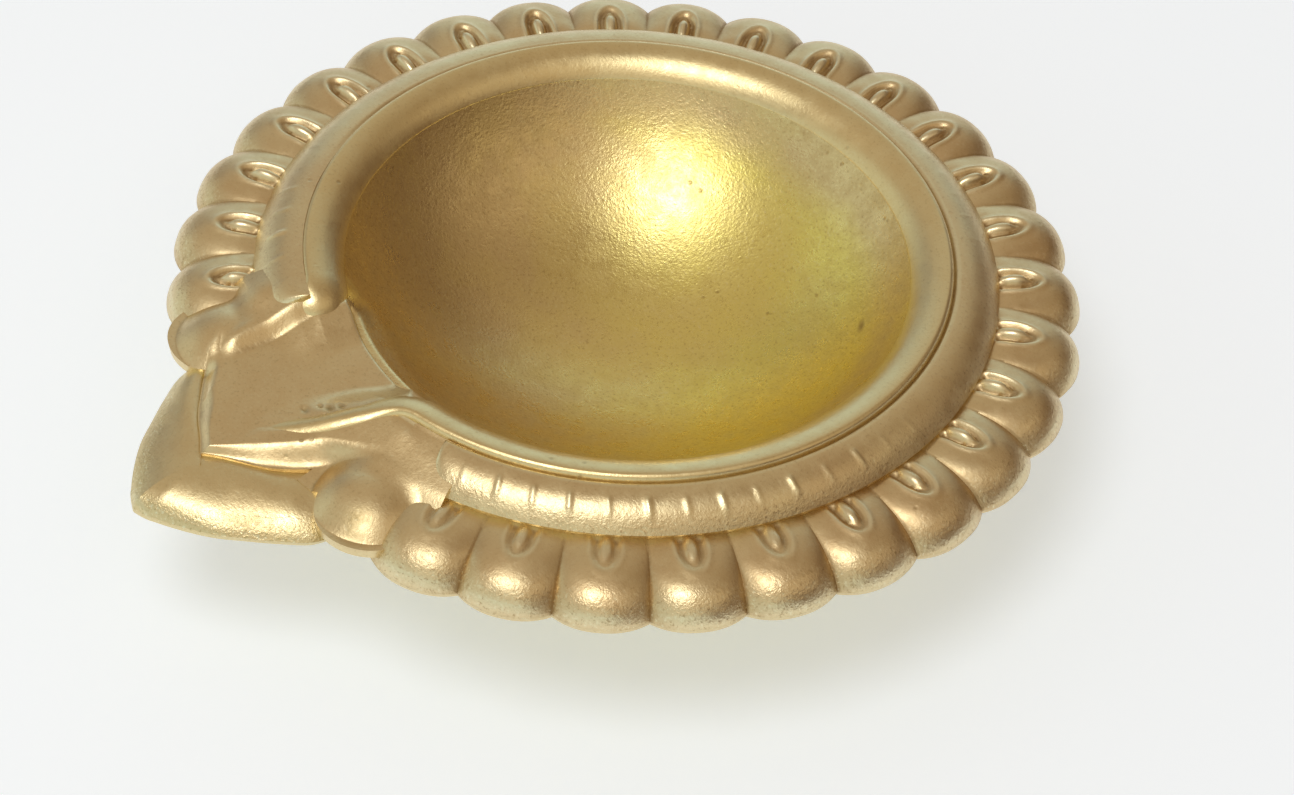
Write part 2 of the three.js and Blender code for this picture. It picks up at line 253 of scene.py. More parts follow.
def brass_surface_group():
    """Colour, Roughness and Height of brass. Warm and soft clouds mix two tones, and in the bowl the warm
    share is painted shade and reflection; hollows and stains take the tarnish tone, as does the painted
    shade in the petal border's valleys, and high places the rubbed one; grain, stronger where grainy,
    gives specks and pits."""
    group = bpy.data.node_groups.new("brass surface", "ShaderNodeTree")
    for name, kind in (("Place", "Vector"), ("Hollow", "Float"), ("Grainy", "Float"), ("Stain", "Float"),
                       ("Warm", "Float"), ("Tone", "Color"), ("Warm Tone", "Color"), ("Tarnish", "Color"),
                       ("Rubbed", "Color"), ("Cloud Share", "Float"), ("Tarnish Share", "Float"),
                       ("Grain Share", "Float"), ("Smooth", "Float"), ("Rough", "Float")):
        group.interface.new_socket(name, in_out="INPUT", socket_type="NodeSocket" + kind)
    for name, kind in (("Color", "Color"), ("Roughness", "Float"), ("Height", "Float")):
        group.interface.new_socket(name, in_out="OUTPUT", socket_type="NodeSocket" + kind)
    given = group.nodes.new("NodeGroupInput").outputs
    cloud = noise(group, given["Place"], CLOUD_SCALE, 5.0, 0.6)
    patch = noise(group, given["Place"], PATCH_SCALE, 4.0, 0.65)
    grain = noise(group, given["Place"], GRAIN_SCALE, 2.0, 0.7)
    from_pit = add_node(group, "ShaderNodeTexVoronoi", [("Vector", given["Place"]), ("Scale", PIT_SCALE)],
                        feature="F1").outputs["Distance"]
    pit = arithmetic(group, "MULTIPLY", remap(group, from_pit, 0.04, 0.16, 1.0, 0.0),
                     remap(group, cloud, 0.54, 0.64))
    clouds = arithmetic(group, "MULTIPLY", remap(group, cloud, 0.36, 0.66, -0.5, 0.5), given["Cloud Share"])
    warmth = arithmetic(group, "ADD", given["Warm"], clouds)
    tone = blend_colours(group, warmth, given["Tone"], given["Warm Tone"])
    wander = remap(group, patch, 0.3, 0.7, -0.02, 0.02)
    sunk = remap(group, arithmetic(group, "ADD", given["Hollow"], wander), 0.01, 0.12)
    sunk = arithmetic(group, "MULTIPLY", sunk, given["Tarnish Share"])
    raised = remap(group, given["Hollow"], -0.015, -0.1)
    tone = blend_colours(group, arithmetic(group, "MULTIPLY", raised, 0.7), tone, given["Rubbed"])
    # The stain input holds real stains and also painted shade: the darkening in the petal border's valleys.
    stained = arithmetic(group, "MULTIPLY", given["Stain"], remap(group, patch, 0.35, 0.6, 0.55, 1.0))
    tone = blend_colours(group, arithmetic(group, "MAXIMUM", sunk, stained), tone, given["Tarnish"])
    grain_here = arithmetic(group, "MULTIPLY", given["Grain Share"],
                            arithmetic(group, "ADD", given["Grainy"], 0.35))
    specks = arithmetic(group, "MULTIPLY", remap(group, grain, 0.55, 0.72), grain_here)
    tone = blend_colours(group, arithmetic(group, "MULTIPLY", specks, 0.5), tone, given["Tarnish"])
    sparks = arithmetic(group, "MULTIPLY", remap(group, grain, 0.45, 0.3), grain_here)
    tone = blend_colours(group, arithmetic(group, "MULTIPLY", sparks, 0.5), tone, given["Rubbed"])
    tone = blend_colours(group, arithmetic(group, "MULTIPLY", pit, 0.5), tone, given["Tarnish"])
    spread = arithmetic(group, "SUBTRACT", given["Rough"], given["Smooth"])
    rough = arithmetic(group, "ADD", arithmetic(group, "MULTIPLY", remap(group, patch, 0.3, 0.7), spread),
                       given["Smooth"])
    dulling = arithmetic(group, "MAXIMUM", sunk, stained)
    rough = arithmetic(group, "ADD", rough, arithmetic(group, "MULTIPLY", dulling, 0.15))
    height = arithmetic(group, "MULTIPLY", grain, grain_here)
    height = arithmetic(group, "ADD", height, arithmetic(group, "MULTIPLY", patch, 0.5))
    height = arithmetic(group, "SUBTRACT", height, arithmetic(group, "MULTIPLY", pit, 0.6))
    result = group.nodes.new("NodeGroupOutput").inputs
    for name, value in (("Color", tone), ("Roughness", rough), ("Height", height)):
        group.links.new(value, result[name])
    return group


brass_surface = brass_surface_group()


def brass(name, tones, clouds, tarnish, grain, roughness, bump_depth):
    """A brass finish: the shared surface group, with its tones and shares, feeds the colour, the roughness
    and a bump of a given depth in millimetres."""
    material = bpy.data.materials.new(name)
    material.use_nodes = True
    tree = material.node_tree
    shader = tree.nodes["Principled BSDF"]
    marks = [(mark.capitalize(), add_node(tree, "ShaderNodeAttribute", attribute_name=mark).outputs["Fac"])
             for mark in ("hollow", "grainy", "stain", "warm")]
    colours = zip(("Tone", "Warm Tone", "Tarnish", "Rubbed"), (tuple(tone) + (1,) for tone in tones))
    surface = add_node(tree, "ShaderNodeGroup", node_tree=brass_surface)
    values = [("Place", add_node(tree, "ShaderNodeTexCoord").outputs["Object"]), *marks, *colours,
              ("Cloud Share", clouds), ("Tarnish Share", tarnish), ("Grain Share", grain),
              ("Smooth", roughness[0]), ("Rough", roughness[1])]
    for socket, value in values:
        if isinstance(value, bpy.types.NodeSocket):
            tree.links.new(value, surface.inputs[socket])
        else:
            surface.inputs[socket].default_value = value
    tree.links.new(surface.outputs["Color"], shader.inputs["Base Color"])
    tree.links.new(surface.outputs["Roughness"], shader.inputs["Roughness"])
    relief = add_node(tree, "ShaderNodeBump", [("Height", surface.outputs["Height"]), ("Strength", 1.0),
                                               ("Distance", bump_depth * MM)])
    tree.links.new(relief.outputs["Normal"], shader.inputs["Normal"])
    shader.inputs["Metallic"].default_value = 1.0
    return material


cup.data.materials.append(brass("polished brass", CUP_TONES, 0.3, 0.5, 0.7, (0.25, 0.35), 0.045))
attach(cup, "root")
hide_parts("oil_bowl")


# ---------------------------------------------------------------------------------------------------
# Lip: a rounded brass bead cast round the bowl's edge. At the mouth it turns out on both sides: a long
# rail on the right, which sinks in near the spout's point, and a short one on the left.

LIP_CREST = 27.5
LIP_PROFILE = [(-3.1, 1.8), (-2.8, 1.42), (-2.4, 1.01), (-2.0, 0.69), (-1.5, 0.39), (-1.0, 0.19),
               (-0.5, 0.06), (0.0, 0.0), (0.22, 0.06), (0.4, 0.22), (0.5, 0.5), (0.52, 0.8)]
LIP_UNDERSIDE = [(0.52, 1.5), (-2.8, 2.9), (-3.15, 2.1)]
RIGHT_RAIL = [(36.8, 0.1), (35.4, 1.0), (34.2, 1.9), (33.0, 2.75), (31.8, 3.5), (30.4, 4.2),
              (29.1, 4.9), (27.7, 5.75), (26.6, 6.7)]
LEFT_RAIL = [(26.6, -9.3), (27.6, -9.45), (28.7, -9.5), (29.8, -9.4), (30.8, -9.2)]
LIP_START, LIP_STOP = np.radians(16.5), FULL_TURN - np.radians(20.5)
RAIL_CREST = [(LIP_CREST, 0.0), (28.1, 0.28), (29.5, 0.75), (31.1, 1.25), (32.0, 1.55), (33.1, 1.95),
              (34.25, 2.35), (35.4, 2.7), (36.8, 3.1)]
RAIL_START, RAIL_FULL = 27.6, 30.0
RAIL_INSIDE, RAIL_OUTSIDE = 0.5, 2.3
LEFT_SINK, LEFT_NARROWING = 0.75, 0.5
LIP_TONES = ((0.79, 0.66, 0.36), (0.77, 0.61, 0.31), (0.4, 0.29, 0.14), (0.86, 0.78, 0.5))
CAST_FINISH = (0.7, 0.6, 1.0, (0.29, 0.4), 0.035)


def on_spout(along, across, drop):
    """Points, in metres, at a distance along the spout, one across it, and a drop below the rim (mm)."""
    along, across, drop = np.broadcast_arrays(along, across, drop)
    return np.stack([across, -along, RIM_HEIGHT - drop], -1) * MM


def running_mean(path, half_width):
    """Each point's mean with the points up to half_width places away, the ends standing still."""
    padded = np.concatenate([np.repeat(path[:1], half_width, 0), path, np.repeat(path[-1:], half_width, 0)])
    total = np.cumsum(np.concatenate([np.zeros((1, 2)), padded]), 0)
    return (total[2 * half_width + 1:] - total[:-2 * half_width - 1]) / (2 * half_width + 1)


def lip_path(spacing=0.14):
    """The bead's crest as (along, across) points: in along the right rail, round the bowl, and out along
    the left one, evenly spaced, with the corners rounded by a running mean."""
    turn = np.linspace(LIP_START, LIP_STOP, 900)
    circle = LIP_CREST * np.stack([np.cos(turn), np.sin(turn)], 1)
    rough = np.concatenate([RIGHT_RAIL, circle, LEFT_RAIL])
    length = np.concatenate([[0], np.cumsum(np.linalg.norm(np.diff(rough, axis=0), axis=1))])
    even = np.linspace(0, length[-1], int(length[-1] / spacing))
    path = np.stack([np.interp(even, length, rough[:, side]) for side in range(2)], 1)
    return running_mean(running_mean(path, 9), 6)


path = lip_path()
heading = np.gradient(path, axis=0)
heading /= np.linalg.norm(heading, axis=1, keepdims=True)
path_radius = np.linalg.norm(path, axis=1)
left_end = soft_step(LIP_CREST, RAIL_FULL, path_radius) * (path[:, 1] < 0)
turned_out = soft_step(RAIL_START, RAIL_FULL, path_radius)[:, None]
crest_drop = (curve_through(RAIL_CREST, path_radius) + LEFT_SINK * left_end)[:, None]
profile_steps = np.linspace(0, len(LIP_PROFILE) - 1, 44)
profile = np.stack([curve_through(list(enumerate(side)), profile_steps) for side in zip(*LIP_PROFILE)], 1)
profile = np.concatenate([profile, LIP_UNDERSIDE])[None, :, :]
outside = profile[..., 0] > 0
narrowing = 1 - LEFT_NARROWING * left_end[:, None]
inside_share = 1 - (1 - RAIL_INSIDE) * turned_out
width_share = np.where(outside, 1 + (RAIL_OUTSIDE - 1) * turned_out, inside_share) * narrowing
depth_share = np.where(outside, 1 + turned_out, inside_share)
bead_off = profile[..., 0] * width_share
bead_along = path[:, None, 0] + heading[:, None, 1] * bead_off
bead_across = path[:, None, 1] - heading[:, None, 0] * bead_off
bead_drop = np.maximum(crest_drop + profile[..., 1] * depth_share, 0)
bead = on_spout(bead_along, bead_across, bead_drop)
lip = skin("oil_bowl_lip", bead, {"hollow": 0.0, "grainy": 0.1, "stain": 0.0, "warm": 0.4})
lip.data.materials.append(brass("lip brass", LIP_TONES, *CAST_FINISH))
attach(lip, "root")
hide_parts("oil_bowl")


# ---------------------------------------------------------------------------------------------------
# Foot: a low round stand, cast and then turned, with a flat underside, a rounded edge and a waist. Its
# top is dished to the bowl above it, and it is brazed on.

FOOT_TREAD, FOOT_EDGE, FOOT_WAIST = 15.6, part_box("foot")[1][0] / MM, 12.7
FOOT_OUTLINE = [(FOOT_TREAD, 0.0), (15.78, 0.1), (15.88, 0.3), (FOOT_EDGE, 0.55), (15.85, 0.85),
                (15.6, 1.12), (15.0, 1.42), (14.3, 1.8), (13.6, 2.4), (13.15, 3.1), (12.85, 4.0),
                (FOOT_WAIST, 5.2), (FOOT_WAIST, 6.9)]
FOOT_BRAZE_GAP = 0.3
TURNING_MARK_HEIGHT, TURNING_MARKS_PER_MM = 0.02, 9.0
FOOT_TONES = ((0.62, 0.5, 0.28), (0.54, 0.41, 0.22), (0.2, 0.14, 0.07), (0.72, 0.6, 0.36))

foot_angle = np.linspace(0, FULL_TURN, 240, endpoint=False)[:, None]
foot_steps = np.linspace(0, len(FOOT_OUTLINE) - 1, 60)
foot_radius, foot_height = (curve_through(list(enumerate(side)), foot_steps) for side in zip(*FOOT_OUTLINE))
tread_radius = np.linspace(0, FOOT_TREAD - 0.1, 40)
turning_marks = 1 - np.cos(tread_radius * TURNING_MARKS_PER_MM)
tread_height = TURNING_MARK_HEIGHT * turning_marks * soft_step(1.0, 4.0, tread_radius)
dish_radius = np.linspace(FOOT_WAIST, 0, 12)
dish_height = RIM_HEIGHT - cup_drop(dish_radius, CUP_WALL) + FOOT_BRAZE_GAP
foot_radius = np.concatenate([tread_radius, foot_radius, dish_radius])[None, :]
foot_height = np.concatenate([tread_height, foot_height, dish_height])[None, :]
foot_marks = {"hollow": 0.04 * bump(2.0, 1.2, foot_height), "grainy": 1.0, "stain": 0.0, "warm": 0.5}
foot = skin("foot_turned", around(foot_angle, foot_radius, RIM_HEIGHT - foot_height), foot_marks, ring=True)
foot.data.materials.append(brass("raw brass", FOOT_TONES, 0.8, 0.8, 1.0, (0.42, 0.56), 0.06))
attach(foot, "root")
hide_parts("foot")


# ---------------------------------------------------------------------------------------------------
# Petal border: one cast strip of 27 rounded petals with shallow valleys between them. On each petal lies
# a small inner petal: a thin raised arch, a sunken groove inside it, and an oval rib in the middle.

PETALS = 27
PITCHES = PETALS + 4
PITCH = FULL_TURN / PITCHES
BORDER_START = 2 * PITCH
BORDER_INNER, NOTCH_RADIUS, TIP_RADIUS = 31.3, 38.5, 39.62
PETAL_EDGE_DROP, PETAL_EDGE_THICKNESS, BORDER_UNDER_DROP = 5.3, 0.75, 4.3
CROWN = [(31.3, 2.8), (32.1, 2.7), (33.4, 2.5), (34.6, 2.48), (36.0, 2.56), (37.2, 2.82), (38.1, 3.25),
         (38.9, 3.95), (39.3, 4.5), (39.5, 4.95), (39.62, 5.4)]
VALLEY = [(31.3, 3.0), (32.1, 2.95), (34.0, 3.0), (36.3, 3.6), (37.6, 4.4), (38.5, 5.4)]
ARCH_HALF_WIDTH, ARCH_START, ARCH_STRAIGHT, ARCH_END = 1.3, 32.1, 33.6, 36.0
ARCH_HEIGHT, GROOVE_DEPTH, OVAL_HEIGHT = 0.14, 0.42, 0.34
OVAL_HALF_WIDTH, OVAL_MIDDLE, OVAL_HALF_LENGTH = 0.62, 33.75, 1.6
PETAL_TONES = ((0.78, 0.64, 0.37), (0.7, 0.52, 0.28), (0.42, 0.29, 0.14), (0.86, 0.78, 0.52))


def inner_petal(side, radius):
    """Height of the inner petal, in mm, at a distance to the side of the petal's middle line and at a
    radius. nearness is 0 on the middle line and 1 on the arch, which is straight and then elliptical."""
    rise = np.clip(radius - ARCH_STRAIGHT, 0, None) / (ARCH_END - ARCH_STRAIGHT)
    nearness = np.hypot(side / ARCH_HALF_WIDTH, rise)
    starts = soft_step(ARCH_START - 0.2, ARCH_START + 0.5, radius)
    arch = ARCH_HEIGHT * bump(1.05, 0.2, nearness)
    groove = -GROOVE_DEPTH * bump(0.6, 0.26, nearness)
    oval = np.hypot(side / OVAL_HALF_WIDTH, (radius - OVAL_MIDDLE) / OVAL_HALF_LENGTH)
    rib = OVAL_HEIGHT * np.sqrt(np.clip(1 - oval ** 2, 0, 1))
    return (arch + groove) * starts + rib


border_angle = np.linspace(BORDER_START, FULL_TURN - BORDER_START, PETALS * 44 + 1)[:, None]
petal_place = (border_angle - BORDER_START) / PITCH
petal_number = np.minimum(np.floor(petal_place), PETALS - 1)
across_petal = (petal_place - petal_number) * 2 - 1
petal_edge = NOTCH_RADIUS + (TIP_RADIUS - NOTCH_RADIUS) * (1 - np.abs(across_petal) ** 2.3)
border_share = np.linspace(0, 1, 56)[None, :] ** 0.9
border_radius = BORDER_INNER + (petal_edge - BORDER_INNER) * border_share
fullness = (1 - np.abs(across_petal) ** 2.1) ** 0.8
crown_drop = curve_through(CROWN, BORDER_INNER + border_share * (TIP_RADIUS - BORDER_INNER))
valley_drop = curve_through(VALLEY, BORDER_INNER + border_share * (NOTCH_RADIUS - BORDER_INNER))
# The inner petals are worn low on the first few petals right of the spout, and vary a little elsewhere.
worn_share = 0.35 + 0.6 * soft_step(2.5, 8, petal_number)
relief_share = worn_share * (1 + 0.15 * np.sin(petal_number * 2.7))
relief = relief_share * inner_petal(across_petal * PITCH / 2 * border_radius, border_radius)
border_drop = valley_drop + (crown_drop - valley_drop) * fullness - relief
under_share = np.linspace(0, 1, 9)[None, :]
under_radius = BORDER_INNER + (petal_edge - 0.3 - BORDER_INNER) * under_share
under_fall = PETAL_EDGE_DROP + PETAL_EDGE_THICKNESS - BORDER_UNDER_DROP
border_under = around(border_angle, under_radius, BORDER_UNDER_DROP + under_fall * under_share)
border = plate("petal_border_relief", around(border_angle, border_radius, border_drop), border_under,
               reach=(3, 3), grainy=soft_step(0.62, 0.95, border_share),
               # Painted shade: the stain mark here darkens the outer part of each valley between two
               # petals, most at the notches, where shade falls.
               stain=0.35 * bump(0, 0.35, 1 - np.abs(across_petal)) * soft_step(0.25, 0.6, border_share))
border.data.materials.append(brass("petal brass", PETAL_TONES, 0.8, 0.75, 1.0, (0.3, 0.42), 0.04))
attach(border, "root")
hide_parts("petal_border")


# ---------------------------------------------------------------------------------------------------
# Collar: a convex band cast between the lip and the petals. Short uneven ribs stand on its outer half,
# it ends in a rounded wedge on each side of the spout, and left of the spout it melts into the lip.

COLLAR_INNER, COLLAR_RADIUS = 27.9, 32.1
COLLAR_END = {"right": np.radians(23.6), "left": np.radians(18.6)}
COLLAR_THICKNESS = 1.5
WEDGE_RADIUS, WEDGE_TURN = 28.5, np.radians(4.2)
INNER_DROP, INNER_RISE, OUTER_DROP, OUTER_FALL = 0.42, 0.24, 0.45, 1.95
SEAM_RADIUS, SEAM_DEPTH, SEAM_WIDTH = 27.95, 0.3, 0.2
MELTED_TO, MELTED_FROM = np.radians((28, 75))
COLLAR_RIB_HEIGHT, COLLAR_RIB_WIDTH = 0.13, 0.26
COLLAR_TONES = ((0.8, 0.67, 0.39), (0.73, 0.56, 0.31), (0.44, 0.31, 0.15), (0.86, 0.78, 0.5))


def collar_edge(from_end):
    """The collar's outer radius at an angle from its end: a quarter of an ellipse, then the full circle."""
    share = np.clip(from_end / WEDGE_TURN, 0, 1)
    return WEDGE_RADIUS + (COLLAR_RADIUS - WEDGE_RADIUS) * np.sqrt(share * (2 - share))


def collar_ribs(angle, radius):
    """Short raised ribs, one at each petal's middle and one at each notch, clearest near the spout. Their
    heights and places wander by a sine of their number."""
    place = (angle - BORDER_START) / (PITCH / 2)
    number = np.round(place)
    off = (place - number) * PITCH / 2 * radius + 0.12 * np.sin(number * 5.1)
    signed = np.where(angle > np.pi, angle - FULL_TURN, angle)
    near_spout = (soft_step(0.45, 0.6, signed) * (1 - soft_step(1.5, 1.9, signed))
                  + soft_step(-0.86, -0.72, signed) * (1 - soft_step(-0.56, -0.44, signed)))
    strength = (0.1 + 0.9 * near_spout) * (0.75 + 0.25 * np.sin(number * 3.3))
    reach = soft_step(29.2, 29.9, radius) * (1 - soft_step(30.7, 31.5, radius))
    return COLLAR_RIB_HEIGHT * strength * reach * bump(0.12 * (radius - 30.3), COLLAR_RIB_WIDTH, off)


collar_angle = np.linspace(COLLAR_END["right"], FULL_TURN - COLLAR_END["left"], 1600)[:, None]
from_right, from_left = collar_angle - collar_angle[0], collar_angle[-1] - collar_angle
collar_outer = collar_edge(np.minimum(from_right, from_left))
collar_share = np.linspace(0, 1, 34)[None, :]
collar_radius = COLLAR_INNER + (collar_outer - COLLAR_INNER) * collar_share
breadth = (collar_outer - COLLAR_INNER) / (COLLAR_RADIUS - COLLAR_INNER)
outer_drop = OUTER_DROP + OUTER_FALL * breadth ** 1.35
melted = 1 - soft_step(MELTED_TO, MELTED_FROM, from_left)
seam_groove = SEAM_DEPTH * (1 - melted) * bump(SEAM_RADIUS, SEAM_WIDTH, collar_radius)
inner_drop = INNER_DROP - INNER_RISE * melted
collar_drop = (inner_drop + (outer_drop - inner_drop) * collar_share ** 2.6 + seam_groove
               - collar_ribs(collar_angle, collar_radius))
collar = plate("collar_band_relief", around(collar_angle, collar_radius, collar_drop),
               around(collar_angle, collar_radius[:, ::6], collar_drop[:, ::6] + COLLAR_THICKNESS),
               grainy=0.2 + 0.6 * soft_step(0.55, 0.85, collar_share),
               stain=0.9 * (1 - melted) * bump(SEAM_RADIUS + 0.1, SEAM_WIDTH, collar_radius),
               warm=0.6 - 0.3 * collar_share)
collar.data.materials.append(brass("collar brass", COLLAR_TONES, *CAST_FINISH))
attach(collar, "root")
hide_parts("collar_band")


# ---------------------------------------------------------------------------------------------------
# Spout shoulders: the smooth fields on both sides of the wick's channel, each with a ball cast on it
# that closes the row of petals. They and the channel are one surface, hand-carved in the pattern.

FLOOR_DROP, FLOOR_FALL = 2.5, 0.035
LEDGE_TOP = [(24.0, 2.5), (27.3, 2.4), (27.9, 0.62), (28.3, 0.68), (29.0, 0.82), (30.0, 1.1), (31.0, 1.45),
             (32.0, 1.8), (33.0, 2.12), (34.0, 2.4), (36.0, 2.75), (38.5, 2.95), (41.5, 3.1)]
FIELD = [(27.9, 0.62), (29.0, 0.82), (30.0, 1.1), (31.0, 1.55), (32.1, 2.2), (33.4, 3.1), (34.5, 3.7),
         (36.0, 4.0), (38.5, 3.95), (41.0, 3.65), (43.0, 3.6)]
LIP_BED = [(24.3, 2.05), (24.8, 1.6), (25.8, 0.95), (26.8, 0.45), (27.5, 0.2), (28.2, 0.0)]
V_TOP = {"right": [(24.0, 10.5), (30.0, 8.0), (32.1, 5.6), (33.1, 4.4), (34.7, 3.4), (36.2, 2.4),
                   (37.7, 1.4), (39.3, 0.5), (41.0, -0.4), (44.0, -2.2)],
         "left": [(24.0, 11.0), (30.0, 10.3), (32.3, 9.5), (33.9, 8.9), (35.4, 7.9), (37.1, 5.9),
                  (38.5, 4.1), (39.9, 2.3), (41.0, 0.4), (44.0, -3.6)]}
V_FOOT = {"right": [(24.0, 13.0), (30.0, 10.5), (32.1, 7.6), (33.5, 6.3), (34.9, 5.5), (36.4, 4.5),
                    (37.9, 3.4), (39.1, 2.2), (40.2, 1.0), (41.5, -0.3), (44.0, -2.0)],
          "left": [(24.0, 12.4), (30.0, 12.0), (32.3, 11.6), (33.9, 11.0), (35.4, 10.1), (37.1, 8.3),
                   (38.5, 6.4), (39.9, 4.3), (41.0, 2.0), (41.9, 0.4), (44.0, -3.0)]}
V_SOFTENING = 0.15
BALL_ALONG, BALL_ACROSS, BALL_RADIUS = 33.5, 11.9, 4.4
DOME_ALONG, DOME_ACROSS, DOME_RADIUS = 32.7, 11.0, 4.9
DOME_TOP_DROP, DOME_HEIGHT, DOME_BLEND, SKIRT_SLOPE = 1.95, 3.3, 1.2, 2.5
WALL_FOOT = [(24.0, 1.6), (25.0, 1.3), (28.3, 0.0), (31.1, -0.7), (34.1, -1.1), (38.0, -1.0), (44.0, -0.9)]
CHANNEL_SIDE = {"right": 8.4, "left": 10.2}
# A mound is (height, along, across, half length, half width); a pit is (along, across, size).
MOUNDS = [(0.55, 29.8, -12.6, 2.6, 2.2), (0.3, 33.4, -10.0, 2.0, 0.6), (0.12, 27.9, 8.4, 0.8, 1.2)]
PITS = [(30.2, 2.2, 0.24), (31.0, 1.7, 0.3), (31.7, 2.2, 0.2), (32.6, 0.4, 0.26), (31.4, 0.9, 0.16)]
PIT_DEPTH, SWELL_HEIGHT = 0.14, 0.5
FOLD_ALONG, FOLD_ACROSS, FOLD_SLOPE = 27.2, -6.2, 0.05
WALL_TOP_BELOW_RAIL = 0.8
SHOULDER_INNER, SHOULDER_FIELD_RADIUS = 28.0, 37.0
SHOULDER_START, SHOULDER_STOP = np.radians((9.0, 28.4))
SHOULDER_THICKNESS, SHOULDER_UNDERSIDE, SHOULDER_TUCK = 0.9, 3.0, 0.06
BALL_STAIN_ALONG, BALL_STAIN_ACROSS, BALL_STAIN_SIZE = 35.4, 12.9, 1.3
SPOUT_TONES = ((0.8, 0.65, 0.37), (0.74, 0.57, 0.31), (0.36, 0.27, 0.12), (0.87, 0.8, 0.52))
ball_angle = np.arctan2(BALL_ACROSS, BALL_ALONG)
ball_centre = np.hypot(BALL_ACROSS, BALL_ALONG)
rail_side = sorted(RIGHT_RAIL)


def ball_drop(along, across):
    """A dome with a skirt: the top's drop, its height times 1 - sqrt(1 - x^2) towards its edge, and past
    the edge a shallow slope."""
    off = np.hypot(along - DOME_ALONG, across - DOME_ACROSS) / DOME_RADIUS
    dome = DOME_HEIGHT * (1 - np.sqrt(np.clip(1 - off ** 2, 0, 1)))
    return DOME_TOP_DROP + dome + SKIRT_SLOPE * np.clip(off - 1, 0, 1)


def channel_edge(word, along):
    """The channel's edge on one side: the V's foot, or a straight line where the V has run out."""
    return np.minimum(curve_through(V_FOOT[word], along), CHANNEL_SIDE[word])


def pit_marks(along, across):
    """1 in the middle of each small casting pit beside the right rail, and 0 between them."""
    return np.max([bump(0, size, np.hypot(along - pit_along, (across - pit_across) * 0.7))
                   for pit_along, pit_across, size in PITS], axis=0)


def down_v(word, along, across):
    """0 on the ledge's top and 1 past its foot, across the V's slope on one side."""
    v_top, v_foot = curve_through(V_TOP[word], along), curve_through(V_FOOT[word], along)
    return soft_step(v_top - V_SOFTENING, v_foot, across)


def solid_drop(along, across, radius, off_ledge):
    """The drop of the ledge's top, which gives way to the low field past the V's edges. A low swell, the
    mounds and the two balls rise from it."""
    top = curve_through(LEDGE_TOP, radius)
    swell = SWELL_HEIGHT * bump(33.0, 1.6, radius) * soft_step(6.5, 9.5, np.abs(across))
    field = curve_through(FIELD, radius) - swell
    solid = top + (field - top) * off_ledge * (radius > COLLAR_INNER)
    for height, mound_along, mound_across, half_length, half_width in MOUNDS:
        off = np.hypot((along - mound_along) / half_length, (across - mound_across) / half_width)
        solid = solid - height * bump(0, 1, off)
    return -lower_of(-solid, -ball_drop(along, np.abs(across)), DOME_BLEND)


def trough_drop(along, across, radius):
    """The drop of the wick's trough: a flat floor, folded down towards the bowl, with a gentle wall up to
    the right rail and a lower one up to the left ridge."""
    fold = 0.65 * (across - FOLD_ACROSS) - 0.76 * (along - FOLD_ALONG)
    folded = FOLD_SLOPE * lower_of(fold, 0 * fold, 0.5) * (1 - soft_step(30, 34, along))
    floor = FLOOR_DROP + FLOOR_FALL * (along - 25) + folded
    wall_top = np.minimum(curve_through(RAIL_CREST, radius) + WALL_TOP_BELOW_RAIL, floor - 0.05)
    wall_foot, wall_head = curve_through(WALL_FOOT, along), curve_through(rail_side, along) - 0.9
    up_wall = soft_step(wall_foot, wall_head, across) * (1 - soft_step(34.5, 37, along))
    trough = floor + (wall_top - floor) * up_wall
    up_left = 0.6 * soft_step(3.5, 8.6, -across) * (1 - soft_step(28, 31.5, along))
    return trough + (wall_top - trough) * up_left


def spout_drop(along, across):
    """The drop of the spout's carved top: the trough between the right rail and the left ridge, and the
    ledge, the field and the balls past them, with the lip's bed sunk in and the casting pits."""
    radius = np.hypot(along, across)
    off_ledge = np.maximum(down_v("right", along, across), down_v("left", along, -across))
    solid = solid_drop(along, across, radius, off_ledge)
    trough = trough_drop(along, across, radius)
    rail = curve_through(rail_side, along)
    past_rail = soft_step(rail - 0.3, rail + 0.6, across)
    past_ridge = soft_step(7.8, 9.6, -across) * (1 - soft_step(33.5, 36.5, along))
    past_end = soft_step(36.5, 39.5, along)
    past_trough = np.maximum(np.maximum(past_rail, past_ridge), np.maximum(off_ledge, past_end))
    drop = trough + (solid - trough) * past_trough
    return lower_of(drop, curve_through(LIP_BED, radius), 0.1) + PIT_DEPTH * pit_marks(along, across)


def shoulder_edge(angle):
    """The radius of the ball's outline at an angle from the spout's axis, no less than the field's."""
    turn = angle - ball_angle
    reach = BALL_RADIUS ** 2 - (ball_centre * np.sin(turn)) ** 2
    outline = ball_centre * np.cos(turn) + np.sqrt(np.clip(reach, 0, None))
    return np.maximum(outline, SHOULDER_FIELD_RADIUS)


